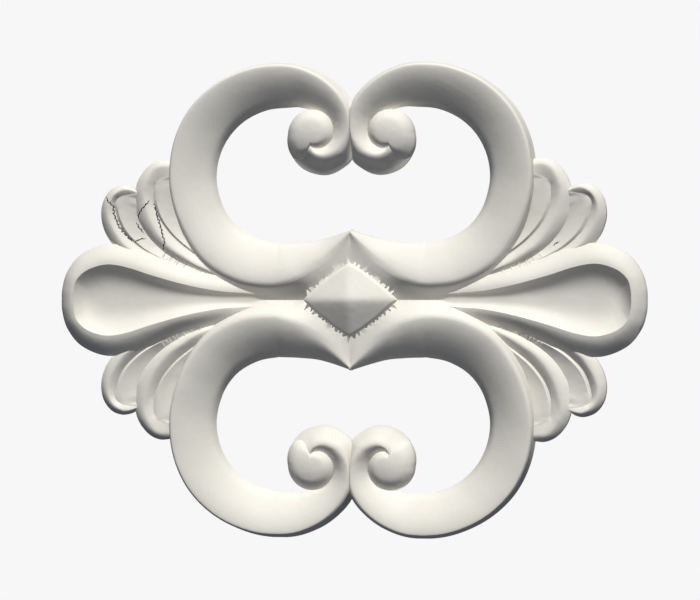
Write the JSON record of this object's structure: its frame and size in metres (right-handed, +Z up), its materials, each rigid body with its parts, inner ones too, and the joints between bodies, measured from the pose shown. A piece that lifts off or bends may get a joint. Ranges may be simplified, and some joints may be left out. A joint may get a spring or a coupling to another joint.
{
  "type": "pierced scrollwork rosette",
  "caption": "Pierced ornamental rosette of C-scrolls about a raised diamond boss, with side lobes and curled leaflets, cast in one piece with a flat back.",
  "frame": {"origin": "centre of the flat back, behind the diamond boss", "axes": "+Y out of the flat back, so the relief faces -Y; +X to the right along the long side; +Z up"},
  "size_m": [0.243, 0.0135, 0.1956],
  "materials": {
    "ivory_plaster": "matt ivory-white plaster"
  },
  "bodies": {
    "root": {"rosette": "ivory_plaster"}
  },
  "joints": []
}
